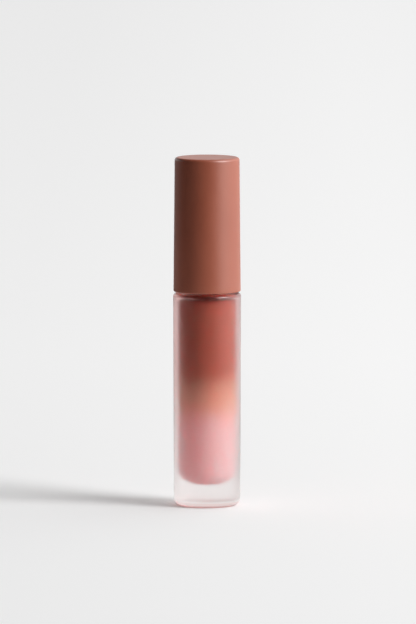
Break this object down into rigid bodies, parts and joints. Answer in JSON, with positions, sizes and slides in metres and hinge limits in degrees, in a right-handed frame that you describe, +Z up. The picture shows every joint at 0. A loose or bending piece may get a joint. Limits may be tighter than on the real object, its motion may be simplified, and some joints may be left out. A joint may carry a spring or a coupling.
{
  "type": "lip gloss tube",
  "caption": "Slim round lip gloss tube: heavy-walled frosted bottle with two-tone gloss, neck wiper, and a tall plain screw cap carrying a wand with a slanted flocked tip.",
  "frame": {"origin": "centre of the base, on the plane that the tube stands on", "axes": "+Z up along the tube's axis, from the base to the cap's top; the applicator's slanted face looks along -Y"},
  "size_m": [0.02, 0.02, 0.103],
  "materials": {
    "frosted_glass": "acid-frosted, satin",
    "gloss_pink": "glossy, creamy opaque",
    "gloss_terracotta": "glossy, creamy opaque",
    "wiper_plastic": "soft, waxy natural",
    "washer_foam": "closed foam, dull",
    "cap_paint": "soft matte painted",
    "inner_plastic": "as moulded, natural",
    "stem_plastic": "smooth moulded",
    "tip_flock": "short dense flock"
  },
  "bodies": {
    "bottle": {"bottle": "frosted_glass", "gloss_lower": "gloss_pink", "gloss_upper": "gloss_terracotta", "wiper": "wiper_plastic"},
    "seal": {"seal_washer": "washer_foam"},
    "cap": {"cap_shell": "cap_paint", "inner_cap": "inner_plastic", "wand_stem": "stem_plastic", "applicator_tip": "tip_flock"}
  },
  "joints": [
    {"name": "cap_lift", "type": "slide", "parent": "bottle", "child": "seal", "axis": [0, 0, 1], "range_m": [0, 0.07]},
    {"name": "cap_twist", "type": "hinge", "parent": "seal", "child": "cap", "pos_m": [0, 0, 0.0757], "axis": [0, 0, 1], "range_deg": [0, 720]}
  ]
}
